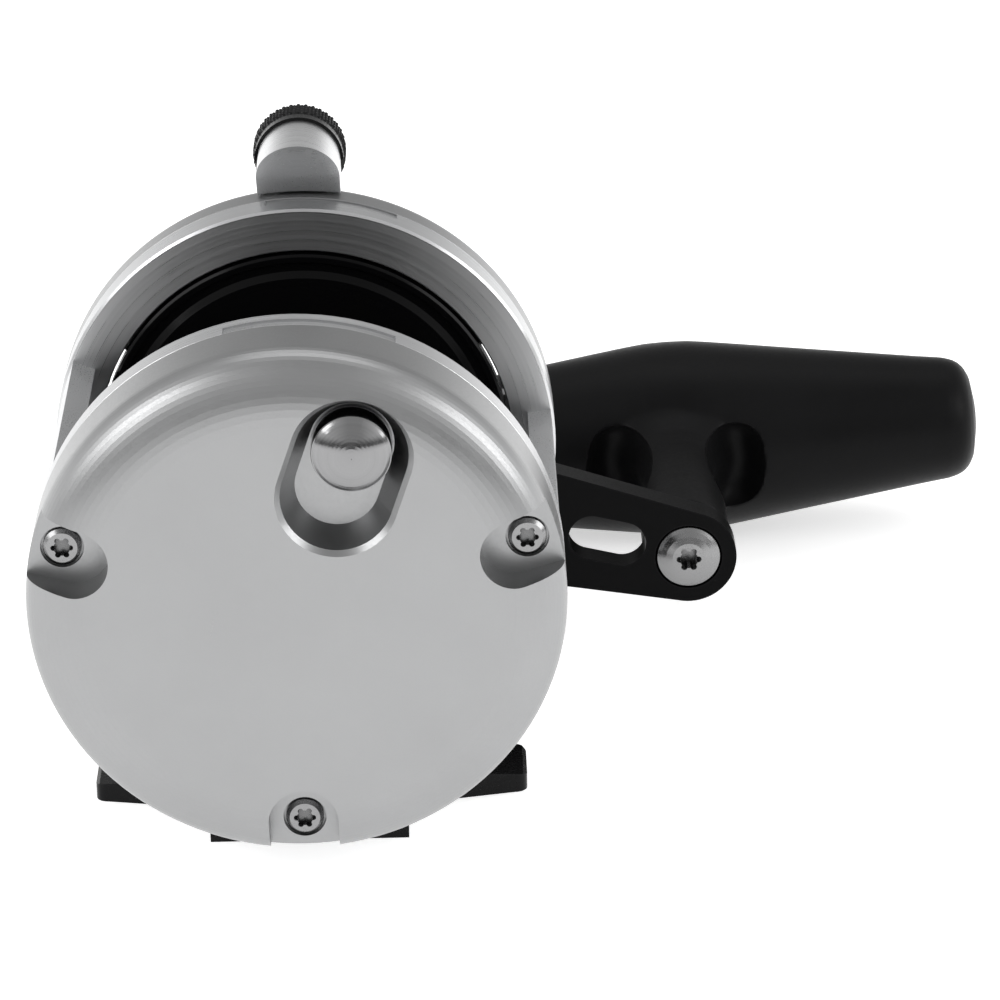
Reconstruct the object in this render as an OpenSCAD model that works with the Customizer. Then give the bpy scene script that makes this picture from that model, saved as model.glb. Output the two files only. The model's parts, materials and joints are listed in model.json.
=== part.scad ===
// Two-speed lever-drag trolling reel, built from its separate pieces.
// Origin: centre of the foot's underside. +X towards the rod butt, +Y towards the
// handle side along the spool axis, +Z up.

/* [Frame and plates] */

// Outer radius of side plates and frame rings
plate_radius = 52; // [47:1:56]
// Radial width of the frame rings
ring_wall = 9; // [7:0.5:11]
// Gap between the plates' lowest point and the foot's underside
frame_clearance = 10; // [8:0.5:20]
// Clear distance between the two frame rings
ring_gap = 62.6; // [50:0.2:72]
// Width of the left frame ring
left_ring_width = 6.6; // [5:0.1:9]
// Width of the right frame ring
right_ring_width = 7.7; // [6:0.1:9]
// Width of the left plate's straight rim
left_rim_width = 11.1; // [9:0.1:14]
// Height of the left plate's rounded shoulder
left_shoulder = 8.7; // [6:0.1:10]
// Radial width of the plates' rounded shoulder
shoulder_width = 13.2; // [10:0.2:18]
// Wall of the left plate behind its flat centre
left_wall = 11.2; // [10:0.1:12]
// Distance of the plate screws from the plates' edge
screw_inset = 5.9; // [5:0.1:7]
// Radius of the plate screw heads
screw_head_radius = 3.7; // [3:0.1:4.2]

/* [Spool and drag] */

// Radial gap between the spool flanges and the frame rings
spool_gap = 0.6; // [0.4:0.1:2]
// Radius of the spool arbor
arbor_radius = 20; // [16:0.5:26]
// Radius of the main shaft
shaft_radius = 4; // [3:0.1:4.5]
// Gap between drag washer and pressure plate with the lever upright
drag_gap = 0.55; // [0.5:0.01:0.8]
// Teeth of the click gear
click_teeth = 16; // [12:4:24]

/* [Gears] */

// Gear module
gear_module = 0.8; // [0.7:0.05:0.85]
// Teeth of the high-speed pinion
high_pinion_teeth = 17; // [15:1:19]
// Teeth of the low-speed pinion
low_pinion_teeth = 23; // [21:1:25]
// Teeth shared out between a pinion and its gear
teeth_sum = 54; // [54:1:56]
// Direction of the handle axis from the spool axis
handle_direction = -78; // [-90:1:-60]

/* [Handle] */

// Distance from the handle axis to the grip stud
handle_reach = 79; // [60:1:100]
// Angle of the arm below horizontal
arm_drop = 13.6; // [0:0.1:30]
// Distance from the right plate's face to the arm
arm_standoff = 11.5; // [11.3:0.1:14]
// Thickness of the arm
arm_thick = 6.3; // [5:0.1:7]
// Radius of the drive shaft
drive_radius = 4; // [3.6:0.1:4.4]
// Half length of the cross grip
grip_half_length = 70.4; // [50:1:75]
// Largest radius of the cross grip
grip_radius = 22.2; // [16:0.1:22.2]
// Distance from the arm's far face to the middle of the cross grip
grip_offset = 66.4; // [55:0.1:70]

/* [Drag lever] */

// Height of the lever knob's middle over the plates' edge
lever_rise = 4.3; // [3:0.1:8]
// Radius of the lever's bright knob
lever_knob_radius = 8.6; // [7:0.05:10]
// Radius of the lever's black knurled ring
lever_ring_radius = 9.75; // [9.3:0.05:10.5]

/* [Clicker] */

// Radius of the clicker button
button_radius = 7.7; // [6.5:0.1:7.8]
// Travel of the clicker button towards the spool axis
clicker_travel = 9; // [8:0.1:9]
// Distance of the resting button from the edge of the flat centre
clicker_inset = 4.4; // [4.2:0.1:5]
// Direction of the clicker's track
clicker_direction = 70.5; // [60:0.5:120]

/* [Foot] */

// Half length of the reel foot
foot_half_length = 44.3; // [40:0.1:50]
// Width of the foot at its tips
foot_tip_width = 15; // [12:0.5:18]
// Half width of the foot's block along the spool axis
foot_block_half = 27.5; // [20:0.5:30]

/* [Hidden] */

$fn = 96;
running = 0.03;
sliding = 0.05;
thrust_gap = 0.05;
eps = 0.01;
through = 200;

axis_height = plate_radius + frame_clearance;
ring_bore_radius = plate_radius - ring_wall;
flat_radius = plate_radius - shoulder_width;
screw_circle = plate_radius - screw_inset;
spool_radius = ring_bore_radius - spool_gap;
lever_radius = plate_radius + lever_rise;
clicker_rest = flat_radius - clicker_inset;

relief_deep = 0.5;
relief_wide = 3.3;
ring_left_in = -ring_gap / 2;
ring_left_out = ring_left_in - left_ring_width;
ring_right_in = ring_gap / 2;
ring_right_out = ring_right_in + right_ring_width;
left_rim_out = ring_left_out - left_rim_width;
left_face = left_rim_out - left_shoulder;
left_inner = left_face + left_wall;
right_rim_width = 5.15;
right_rim_out = ring_right_out + right_rim_width;
right_shoulder = 6.35;
right_face = right_rim_out + right_shoulder;
right_wall = 3.5;
right_inner = right_face - right_wall;
arm_face = right_face + arm_standoff;
cavity_radius = ring_bore_radius + 0.6;
bar_outer = plate_radius - 0.5;
bar_inner = bar_outer - 4.8;
bar_low = axis_height - bar_outer;
edge = 0.5;

screw_angles = [15.3, 164.7, -90];
screw_radius = 2;
screw_clear = 0.2;
screw_head_high = 2.1;
screw_seat = left_rim_out + 1.0;
scoop_radius = screw_head_radius + 3.1;
scoop_in = 2.5;
scoop_floor = left_rim_out - 0.5;
counterbore = screw_head_radius + 0.5;
right_seat = right_rim_out - 0.4;
torx_radius = 2.2;
torx_deep = 1.7;

gear_distance = gear_module * teeth_sum / 2;
handle_x = gear_distance * cos(handle_direction);
handle_z = axis_height + gear_distance * sin(handle_direction);
high_gear_teeth = teeth_sum - high_pinion_teeth;
low_gear_teeth = teeth_sum - low_pinion_teeth;
pressure_angle = 20;
backlash = 0.16;
addendum = 0.92;
dedendum = 1.25;
stud_x = handle_x + handle_reach * cos(arm_drop);
stud_z = handle_z - handle_reach * sin(arm_drop);
arm_far = arm_face + arm_thick;

spool_left = ring_left_in - 4.7;
spool_right = ring_right_in + 3.3;
washer_thick = 1.2;
drag_radius = spool_radius - 4.4;
plate_near = spool_right + washer_thick + drag_gap;
plate_far = plate_near + 2;
low_near = ring_right_out + 0.4;
low_far = low_near + 2.4;
high_near = low_far + 0.4;
high_far = high_near + 2.5;
low_pinion_far = low_far;
high_pinion_far = high_far + 0.2;
spigot_end = spool_left - 4.3;
click_gear_thick = 2;
bearing_radius = shaft_radius + 4;
spigot_radius = bearing_radius + 2;
bearing_width = 4;
left_bearing_near = spool_left - 1.5;
right_bearing_near = spool_right - 5.6;
sleeve_radius = shaft_radius + 1.5;
sleeve_bearing_radius = sleeve_radius + 3.1;
sleeve_bearing_near = right_inner - 0.3;
sleeve_bearing_far = right_inner + 2.3;
neck_radius = shaft_radius + 2.5;
neck_end = right_face + 5.3;
shaft_thin = shaft_radius - 0.6;
shaft_collar = shaft_radius + 1.2;
washer_radius = shaft_radius + 2.8;
shaft_left = left_face + 9.7;

boss_end = arm_face - 1.7;
drive_near = low_near - 0.6;
drive_end = arm_far + 6.5;
drive_bearing_radius = drive_radius + 3.5;
boss_radius = drive_bearing_radius + 3;
inner_bearing_near = right_inner - 0.05;
inner_bearing_far = inner_bearing_near + 3;
clutch_near = inner_bearing_far + 0.4;
clutch_far = boss_end - 3.6;
clutch_radius = drive_radius + 2.9;
outer_bearing_near = boss_end - 3.2;
outer_bearing_far = boss_end - 0.2;
rod_radius = 1.6;
shift_travel = 2;
key_radius = drive_radius + 1.3;
clip_radius = drive_radius + 1.6;
spacer_radius = drive_radius + 1.2;
nut_radius = drive_radius + 3.8;
lock_screw_x = nut_radius + 4.7;
lock_screw_radius = 1.25;
key_high = 1;
key_y = high_near + 0.5;
square_half = drive_radius - 0.9;

lever_near = right_face + 0.7;
lever_far = lever_near + 4;
lever_hub_radius = neck_radius + 3.3;
cam_radius = neck_radius + 2.5;
cam_far = lever_far + 1.6;
preset_near = cam_far + 0.5;
preset_far = arm_face - 1.1;
shaft_end = preset_far - 1.1;
preset_radius = neck_radius + 2.1;
knob_z = axis_height + lever_radius;
knob_front = ring_right_out - 6;
knob_gap = 0.4;
knob_skirt = 2.2;
knob_seam = lever_near + 1.7;
knob_end = arm_face - 2;
knob_slant = 36;
quadrant_radius = 30;

pocket_floor = left_face + 7.5;
slot_half = 1.9;
stem_radius = 1.8;
stem_offset = 4;
dome_radius = 12;
click_near = spigot_end;
click_far = click_near + click_gear_thick;
pawl_pivot = clicker_rest - 2.2;
pawl_reach = 6.2;
pawl_bite = 1.2;
click_radius = pawl_pivot - clicker_travel - pawl_reach + pawl_bite;
pawl_pin = 1.2;
carrier_near = left_inner + 0.2;
carrier_far = carrier_near + 2;

bar_side_end = -16;
foot_block_x = 20;
foot_root_half = 12;
foot_root_high = 7;
foot_tip_high = 3.8;

// Sub-part to draw

// ---- helpers ----

// Extrudes an X-Z outline from y0 to y1.
module slab(y0, y1) {
    translate([0, y1, 0])
        rotate([90, 0, 0])
            linear_extrude(height = y1 - y0)
                children();
}

// Cylinder parallel to the spool axis.
module rod(x, z, r, y0, y1) {
    translate([x, y0, z])
        rotate([-90, 0, 0])
            cylinder(r = r, h = y1 - y0);
}

// Tube parallel to the spool axis.
module tube(x, z, r_in, r_out, y0, y1) {
    difference() {
        rod(x, z, r_out, y0, y1);
        rod(x, z, r_in, y0 - 1, y1 + 1);
    }
}

// Solid of revolution about an axis parallel to Y, from [radius, y] points.
module turned(x, z, points) {
    translate([x, 0, z])
        rotate([-90, 0, 0])
            rotate_extrude()
                polygon(points);
}

// Wedge used to cut arcs between two angles.
module wedge(a0, a1, y0, y1) {
    reach = 3 * plate_radius;
    slab(y0, y1)
        translate([0, axis_height])
            polygon([[0, 0], [reach * cos(a0), reach * sin(a0)],
                [reach * cos((a0 + a1) / 2), reach * sin((a0 + a1) / 2)],
                [reach * cos(a1), reach * sin(a1)]]);
}

// Ring sector round the spool axis.
module sector(r_in, r_out, a0, a1, y0, y1) {
    intersection() {
        tube(0, axis_height, r_in, r_out, y0, y1);
        wedge(a0, a1, y0 - 1, y1 + 1);
    }
}

// Places children at a point of a circle round the spool axis.
module around(radius, angle) {
    translate([radius * cos(angle), 0, axis_height + radius * sin(angle)])
        children();
}

// Six-lobed driver recess cut along Y.
module six_lobe(radius, y0, y1) {
    rod(0, 0, radius * 0.72, y0, y1);
    for (a = [0:60:300])
        rod(radius * 0.74 * cos(a), radius * 0.74 * sin(a), radius * 0.25, y0, y1);
}

// Ball bearing drawn as its rings, with a shield groove on each face.
module bearing(x, z, r_in, r_out, y0, y1) {
    mid_in = r_in + (r_out - r_in) * 0.32;
    mid_out = r_in + (r_out - r_in) * 0.74;
    deep = 0.25;
    turned(x, z, [[r_in, y0], [mid_in, y0], [mid_in, y0 + deep], [mid_out, y0 + deep], [mid_out, y0],
        [r_out, y0], [r_out, y1], [mid_out, y1], [mid_out, y1 - deep], [mid_in, y1 - deep],
        [mid_in, y1], [r_in, y1]]);
}

function involute(a) = tan(a) - a * PI / 180;
function roll_angle(r, rb) = acos(min(1, rb / r));
function half_tooth(r, z, rb) =
    (PI / (2 * z) - backlash / (gear_module * z) + involute(pressure_angle)
        - involute(roll_angle(r, rb))) * 180 / PI;
function at(r, a) = [r * cos(a), r * sin(a)];

// Involute spur gear outline with a tooth centred on angle zero.
module gear_outline(z) {
    rp = gear_module * z / 2;
    rb = rp * cos(pressure_angle);
    ra = rp + addendum * gear_module;
    rf = rp - dedendum * gear_module;
    r0 = max(rb, rf + 0.05);
    rs = [for (i = [0:4]) r0 + (ra - r0) * i / 4];
    polygon([for (t = [0:z - 1]) let (c = 360 * t / z) each concat(
        [at(rf, c - half_tooth(r0, z, rb) * 1.05)],
        [for (i = [0:4]) at(rs[i], c - half_tooth(rs[i], z, rb))],
        [for (i = [4:-1:0]) at(rs[i], c + half_tooth(rs[i], z, rb))],
        [at(rf, c + half_tooth(r0, z, rb) * 1.05)])]);
}

// Gear blank on an axis parallel to Y.
module gear(x, z, teeth, turn, y0, y1) {
    slab(y0, y1)
        translate([x, z])
            rotate(turn)
                gear_outline(teeth);
}

// ---- frame, plates and foot ----

module frame() {
    color([0.78, 0.79, 0.8])
    difference() {
        union() {
            turned(0, axis_height, [[ring_bore_radius, ring_left_out],
                [plate_radius - 0.15, ring_left_out], [plate_radius, ring_left_out + 0.15],
                [plate_radius, ring_left_in - edge], [plate_radius - edge, ring_left_in],
                [ring_bore_radius + 0.3, ring_left_in], [ring_bore_radius, ring_left_in - 0.3]]);
            turned(0, axis_height, [[ring_bore_radius, ring_right_out],
                [plate_radius - 0.15, ring_right_out], [plate_radius, ring_right_out - 0.15],
                [plate_radius, ring_right_in + edge], [plate_radius - edge, ring_right_in],
                [ring_bore_radius + 0.3, ring_right_in], [ring_bore_radius, ring_right_in + 0.3]]);
            sector(bar_inner, bar_outer, 157, 180 - bar_side_end, ring_left_in - 1, ring_right_in + 1);
            sector(bar_inner, bar_outer, bar_side_end, 8, ring_left_in - 1, ring_right_in + 1);
            sector(bar_inner, bar_outer, -116, -64, ring_left_in - 1, ring_right_in + 1);
        }
        for (a = screw_angles)
            around(screw_circle, a) {
                rod(0, 0, screw_radius + running, ring_left_out - 1, ring_left_in - 0.4);
                rod(0, 0, screw_radius + running, ring_right_in + 0.6, ring_right_out + 1);
            }
        foot_screw_places()
            cylinder(r = screw_radius + running, h = bar_low + 3.5);
        sector(plate_radius - relief_deep, plate_radius + 2, 67.2, 104.3,
            ring_left_out - 1, ring_left_out + relief_wide);
        sector(plate_radius - relief_deep, plate_radius + 2, 67.2, 97.5,
            ring_right_out - relief_wide, ring_right_out + 1);
    }
}

// Rounded shoulder points from the straight rim (y_rim) to the flat face (y_face).
function shoulder(y_rim, y_face) = [for (i = [0:16]) let (a = 90 * i / 16)
    [flat_radius + (plate_radius - flat_radius) * pow(cos(a), 0.85),
        y_rim + (y_face - y_rim) * pow(sin(a), 0.85)]];

module screw_pockets(seat, floor_y, outward) {
    for (a = screw_angles)
        around(screw_circle, a) {
            rod(0, 0, screw_radius + screw_clear, -through, through);
            if (outward < 0) {
                rod(0, 0, counterbore, seat - through, seat);
                rotate([0, -a, 0]) {
                    rod(-scoop_in, 0, scoop_radius, floor_y - through, floor_y);
                    translate([-scoop_in, floor_y - through, -scoop_radius])
                        cube([through, through, 2 * scoop_radius]);
                }
            } else {
                rod(0, 0, counterbore, seat, seat + through);
                rotate([0, -a, 0]) {
                    rod(-scoop_in, 0, scoop_radius, floor_y, floor_y + through);
                    translate([-scoop_in, floor_y, -scoop_radius])
                        cube([through, through, 2 * scoop_radius]);
                }
            }
        }
}

// Moves to the spool axis with X outward along the clicker's track.
module clicker_frame() {
    translate([0, 0, axis_height])
        rotate([0, -clicker_direction, 0])
            children();
}

module clicker_pocket() {
    r0 = clicker_rest - clicker_travel;
    r1 = clicker_rest;
    floor_r = button_radius + 0.4;
    mouth_r = floor_r + 2.7;
    rim_r = mouth_r + 1.2;
    clicker_frame() {
        for (r = [r0, r1])
            turned(r, 0, [[0, pocket_floor], [floor_r, pocket_floor], [mouth_r, left_face + 1],
                [rim_r, left_face - 0.2], [rim_r, left_face - 1], [0, left_face - 1]]);
        translate([r0, 0, 0])
            rotate([90, 0, 90])
                linear_extrude(height = r1 - r0)
                    polygon([[pocket_floor, -floor_r], [pocket_floor, floor_r],
                        [left_face + 1, mouth_r], [left_face - 0.2, rim_r], [left_face - 1, rim_r],
                        [left_face - 1, -rim_r], [left_face - 0.2, -rim_r], [left_face + 1, -mouth_r]]);
        for (r = [r0, r1])
            rod(r + stem_offset, 0, slot_half, pocket_floor - 1, left_inner + 1);
        translate([r0 + stem_offset, pocket_floor - 1, -slot_half])
            cube([r1 - r0, left_inner - pocket_floor + 2, 2 * slot_half]);
    }
}

module left_side_plate() {
    color([0.77, 0.78, 0.79])
    difference() {
        turned(0, axis_height, concat([[0, left_face]],
            [for (i = [16:-1:0]) shoulder(left_rim_out, left_face)[i]],
            [[plate_radius, ring_left_out - 0.15], [plate_radius - 0.15, ring_left_out],
            [cavity_radius, ring_left_out], [cavity_radius, left_inner], [9, left_inner],
            [9, left_inner + 4], [shaft_radius + sliding, left_inner + 4],
            [shaft_radius + sliding, shaft_left - 1.2], [0, shaft_left - 1.2]]));
        screw_pockets(screw_seat, scoop_floor, -1);
        clicker_pocket();
    }
}

module plate_screws_at(seat, tip, side) {
    for (a = screw_angles)
        around(screw_circle, a)
            difference() {
                union() {
                    rod(0, 0, screw_radius, min(seat, tip), max(seat, tip));
                    turned(0, 0, [[0, seat], [screw_head_radius, seat],
                        [screw_head_radius, seat + side * (screw_head_high - 0.7)],
                        [screw_head_radius - 0.7, seat + side * screw_head_high],
                        [0, seat + side * screw_head_high]]);
                }
                six_lobe(torx_radius, min(seat + side * (screw_head_high - torx_deep), seat + side * 3),
                    max(seat + side * (screw_head_high - torx_deep), seat + side * 3));
            }
}

module left_plate_screws() {
    color([0.66, 0.67, 0.68])
    plate_screws_at(screw_seat, ring_left_in - 0.6, -1);
}

module right_side_plate() {
    color([0.77, 0.78, 0.79])
    difference() {
        union() {
            turned(0, axis_height, concat([[0, right_face]],
                [for (i = [16:-1:0]) shoulder(right_rim_out, right_face)[i]],
                [[plate_radius, ring_right_out + 0.15], [plate_radius - 0.15, ring_right_out],
                [cavity_radius, ring_right_out], [cavity_radius, right_inner], [0, right_inner]]));
            rod(0, axis_height, neck_radius, right_face - 1, neck_end);
            turned(handle_x, handle_z, [[0, right_face - 1], [boss_radius + 0.5, right_face - 1],
                [boss_radius, right_face + 0.6], [boss_radius, boss_end - 0.8],
                [boss_radius - 0.8, boss_end], [0, boss_end]]);
        }
        rod(0, axis_height, sleeve_bearing_radius, right_inner - 1, sleeve_bearing_far);
        rod(0, axis_height, shaft_radius + sliding, right_inner - 1, neck_end + 1);
        rod(handle_x, handle_z, drive_bearing_radius, right_inner - 1, inner_bearing_far);
        rod(handle_x, handle_z, clutch_radius, right_inner - 1, clutch_far);
        rod(handle_x, handle_z, drive_radius + 0.6, right_inner - 1, boss_end + 1);
        rod(handle_x, handle_z, drive_bearing_radius, outer_bearing_near, boss_end + 1);
        screw_pockets(right_seat, right_rim_out + 0.7, 1);
        quadrant_places()
            rod(0, 0, 1 + running, right_face - 2.2, right_face + 1);
    }
}

module right_plate_screws() {
    color([0.66, 0.67, 0.68])
    plate_screws_at(right_seat, ring_right_in + 0.8, 1);
}

module foot_screw_places() {
    for (x = [-12, 12])
        for (y = [-18, 18])
            translate([x, y, 1.5])
                children();
}

module reel_foot() {
    corner = 2.5;
    half = foot_half_length;
    tip = foot_tip_width / 2;
    color([0.05, 0.05, 0.055])
    difference() {
        union() {
            translate([-foot_block_x, -foot_block_half, 0])
                cube([2 * foot_block_x, 2 * foot_block_half, axis_height / 4]);
            intersection() {
                slab(-foot_root_half, foot_root_half)
                    polygon([[-half, 0], [half, 0], [half, foot_tip_high - 0.6], [half - 0.8, foot_tip_high],
                        [foot_block_x + 3, foot_root_high - 0.6], [foot_block_x - 1, foot_root_high + 1.4],
                        [1 - foot_block_x, foot_root_high + 1.4], [-foot_block_x - 3, foot_root_high - 0.6],
                        [0.8 - half, foot_tip_high], [-half, foot_tip_high - 0.6]]);
                union() {
                    linear_extrude(height = 20)
                        polygon([[-half + corner, -tip], [-foot_block_x, -foot_root_half],
                            [foot_block_x, -foot_root_half], [half - corner, -tip],
                            [half, corner - tip], [half, tip - corner], [half - corner, tip],
                            [foot_block_x, foot_root_half], [-foot_block_x, foot_root_half],
                            [-half + corner, tip], [-half, tip - corner], [-half, corner - tip]]);
                    for (x = [-half + corner, half - corner])
                        for (y = [corner - tip, tip - corner])
                            translate([x, y, 0])
                                cylinder(r = corner, h = 20);
                }
            }
        }
        rod(0, axis_height, bar_outer + running, -through, through);
        foot_screw_places() {
            translate([0, 0, -5])
                cylinder(r = screw_radius + screw_clear, h = 30);
            translate([0, 0, -5])
                cylinder(r = screw_head_radius + 0.3, h = 5);
            cylinder(r1 = screw_head_radius + 0.3, r2 = screw_radius + screw_clear, h = 1.8);
        }
    }
}

module foot_screws() {
    color([0.66, 0.67, 0.68])
    foot_screw_places()
        difference() {
            union() {
                translate([0, 0, -0.9])
                    cylinder(r = screw_head_radius, h = 1);
                cylinder(r1 = screw_head_radius, r2 = screw_radius, h = 1.7);
                cylinder(r = screw_radius, h = bar_low + 3);
            }
            translate([0, 0, -1])
                cylinder(r = torx_radius, h = torx_deep, $fn = 6);
        }
}

// ---- spool and drag ----

module main_shaft() {
    collar_near = left_bearing_near - thrust_gap - 1.6;
    color([0.7, 0.71, 0.72])
    turned(0, axis_height, [[0, shaft_left], [shaft_radius - 0.5, shaft_left],
        [shaft_radius, shaft_left + 0.5], [shaft_radius, collar_near], [shaft_collar, collar_near],
        [shaft_collar, left_bearing_near - thrust_gap], [shaft_radius, left_bearing_near - thrust_gap],
        [shaft_radius, neck_end + 0.3], [shaft_thin, neck_end + 0.9], [shaft_thin, shaft_end - 0.4],
        [shaft_thin - 0.4, shaft_end], [0, shaft_end]]);
}

module spring_washers() {
    r_in = shaft_radius + running;
    r_out = washer_radius;
    low = right_bearing_near + bearing_width + 0.1;
    color([0.55, 0.56, 0.58])
    turned(0, axis_height, [[r_in, low], [r_in + 0.6, low], [r_out, low + 0.5], [r_out, low + 1.1],
        [r_in + 0.6, low + 1.5], [r_in, low + 1.5]]);
}

module spool() {
    rim = spool_radius;
    left_in = ring_left_in + 0.6;
    right_in = ring_right_in - 0.6;
    color([0.03, 0.03, 0.035])
    difference() {
        turned(0, axis_height, [[bearing_radius, spigot_end], [spigot_radius, spigot_end],
            [spigot_radius, spool_left], [rim - 4, spool_left], [rim - 3.6, spool_left + 0.5],
            [rim - 0.5, spool_left + 0.5], [rim, spool_left + 1], [rim, left_in - 0.4],
            [rim - 0.5, left_in], [rim - 1.6, left_in], [rim - 2.2, left_in - 0.6],
            [rim - 3.6, left_in - 0.6], [rim - 5, left_in + 0.2], [arbor_radius + 3, left_in + 1.2],
            [arbor_radius + 0.9, left_in + 2.1], [arbor_radius, left_in + 4],
            [arbor_radius, right_in - 4], [arbor_radius + 0.9, right_in - 2.1],
            [arbor_radius + 3, right_in - 1.2], [rim - 5, right_in - 0.2], [rim - 3.6, right_in + 0.6],
            [rim - 2.2, right_in + 0.6], [rim - 1.6, right_in], [rim - 0.5, right_in],
            [rim, right_in + 0.4], [rim, spool_right - 0.5], [rim - 0.5, spool_right],
            [bearing_radius, spool_right], [bearing_radius, right_bearing_near],
            [shaft_radius + 2, right_bearing_near],
            [shaft_radius + 2, left_bearing_near + bearing_width],
            [bearing_radius, left_bearing_near + bearing_width]]);
        turned(0, axis_height, [[bearing_radius + 2.5, left_bearing_near + 12],
            [arbor_radius - 3, left_bearing_near + 12], [arbor_radius - 3, spool_right + 1],
            [bearing_radius + 2.5, spool_right + 1]]);
    }
}

module spool_bearing_left() {
    color([0.72, 0.73, 0.74])
    bearing(0, axis_height, shaft_radius + running, bearing_radius, left_bearing_near,
        left_bearing_near + bearing_width);
}

module spool_bearing_right() {
    color([0.72, 0.73, 0.74])
    bearing(0, axis_height, shaft_radius + running, bearing_radius, right_bearing_near,
        right_bearing_near + bearing_width);
}

module click_gear() {
    half = 180 / click_teeth;
    root = click_radius - 2.2;
    color([0.75, 0.6, 0.3])
    difference() {
        slab(click_near, click_far)
            translate([0, axis_height])
                rotate(clicker_direction)
                    polygon([for (t = [0:click_teeth - 1]) let (c = 2 * half * t) each
                        [at(root, c - half * 0.5), at(root, c + half * 0.5),
                        at(click_radius, c + half * 0.88), at(click_radius, c + half * 1.12)]]);
        rod(0, axis_height, spigot_radius, click_near - 1, click_far + 1);
    }
}

module drag_washer() {
    color([0.12, 0.12, 0.12])
    tube(0, axis_height, 14, drag_radius - 1, spool_right, spool_right + washer_thick);
}

module pressure_plate() {
    color([0.72, 0.73, 0.74])
    turned(0, axis_height, [[shaft_radius + sliding, plate_near], [drag_radius - edge, plate_near],
        [drag_radius, plate_near + edge], [drag_radius, plate_far - edge], [drag_radius - edge, plate_far],
        [shaft_radius + sliding, plate_far]]);
}

module low_pinion() {
    color([0.78, 0.64, 0.36])
    difference() {
        gear(0, axis_height, low_pinion_teeth, handle_direction, plate_far, low_pinion_far);
        rod(0, axis_height, shaft_radius + sliding, plate_far - 1, low_pinion_far + 1);
    }
}

module high_pinion() {
    color([0.78, 0.64, 0.36])
    difference() {
        union() {
            gear(0, axis_height, high_pinion_teeth, handle_direction, low_pinion_far, high_pinion_far);
            rod(0, axis_height, sleeve_radius, high_pinion_far - eps, sleeve_bearing_far - 0.2);
        }
        rod(0, axis_height, shaft_radius + sliding, low_pinion_far - 1, right_face);
    }
}

module pinion_bearing() {
    color([0.72, 0.73, 0.74])
    bearing(0, axis_height, sleeve_radius + running, sleeve_bearing_radius, sleeve_bearing_near,
        sleeve_bearing_far);
}

// ---- gear train on the drive shaft ----

module drive_shaft() {
    color([0.68, 0.69, 0.7])
    difference() {
        union() {
            rod(handle_x, handle_z, drive_radius, drive_near, arm_face);
            intersection() {
                rod(handle_x, handle_z, drive_radius, arm_face - 0.5, drive_end);
                handle_frame()
                    translate([-through, arm_face - 1, -square_half])
                        cube([2 * through, drive_end, 2 * square_half]);
            }
        }
        rod(handle_x, handle_z, rod_radius + sliding, drive_near + 1, drive_end + 1);
        handle_frame()
            translate([-key_radius - 1, key_y - shift_travel - 0.2, -0.95])
                cube([2 * key_radius + 2, shift_travel + key_high + 0.4, 1.9]);
    }
}

// Moves to the handle axis with X along the arm.
module handle_frame() {
    translate([handle_x, 0, handle_z])
        rotate([0, arm_drop, 0])
            children();
}

module low_gear() {
    turn = handle_direction + 180 + 180 / low_gear_teeth;
    color([0.68, 0.69, 0.7])
    difference() {
        gear(handle_x, handle_z, low_gear_teeth, turn, low_near, low_far);
        rod(handle_x, handle_z, drive_radius + sliding, low_near - 1, low_far + 1);
        rod(handle_x, handle_z, key_radius + 0.5, low_near + 1, low_far + 1);
    }
}

module high_gear() {
    turn = handle_direction + 180 + 180 / high_gear_teeth;
    color([0.68, 0.69, 0.7])
    difference() {
        gear(handle_x, handle_z, high_gear_teeth, turn, high_near, high_far);
        rod(handle_x, handle_z, drive_radius + running, high_near - 1, high_far + 1);
        handle_frame()
            translate([-key_radius - 0.2, high_near - 1, -0.95])
                cube([2 * key_radius + 0.4, high_far - high_near + 2, 1.9]);
        for (a = [30:60:330])
            rod(handle_x + 10 * cos(a), handle_z + 10 * sin(a), 2.2, high_near - 1, high_far + 1);
    }
}

module gear_clip() {
    color([0.5, 0.51, 0.53])
    tube(handle_x, handle_z, drive_radius + running, clip_radius, drive_near + 0.05, low_near - thrust_gap);
}

module gear_spacer() {
    color([0.6, 0.61, 0.63])
    tube(handle_x, handle_z, drive_radius + running, spacer_radius, high_far,
        inner_bearing_near - thrust_gap);
}

module drive_bearing_inner() {
    color([0.72, 0.73, 0.74])
    bearing(handle_x, handle_z, drive_radius + running, drive_bearing_radius, inner_bearing_near,
        inner_bearing_far);
}

module one_way_clutch() {
    color([0.5, 0.51, 0.53])
    bearing(handle_x, handle_z, drive_radius + running, clutch_radius, clutch_near, clutch_far);
}

module drive_bearing_outer() {
    color([0.72, 0.73, 0.74])
    bearing(handle_x, handle_z, drive_radius + running, drive_bearing_radius, outer_bearing_near,
        outer_bearing_far);
}

module shift_button() {
    low = drive_end + shift_travel + 0.3;
    r = drive_radius - 0.6;
    color([0.72, 0.1, 0.08])
    turned(handle_x, handle_z, [[0, low - 0.1], [r - 0.2, low - 0.1], [r, low + 0.1], [r, low + 1.8],
        [r - 0.8, low + 2.5], [0, low + 2.6]]);
}

module shift_rod() {
    color([0.7, 0.71, 0.72])
    union() {
        rod(handle_x, handle_z, rod_radius, key_y + 0.2, drive_end + shift_travel + 0.2);
        handle_frame()
            translate([-key_radius, key_y, -0.85])
                cube([2 * key_radius, key_high, 1.7]);
    }
}

// ---- handle ----

module arm_blank() {
    hub = 16.6;
    end = 10.45;
    rod(0, 0, hub, arm_face, arm_far);
    rod(handle_reach, 0, end, arm_face, arm_far);
    slab(arm_face, arm_far)
        polygon([[1.2, hub - 0.1], [handle_reach + 0.7, end - 0.05],
            [handle_reach + 0.9, 0.06 - end], [1.6, 0.1 - hub]]);
}

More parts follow.
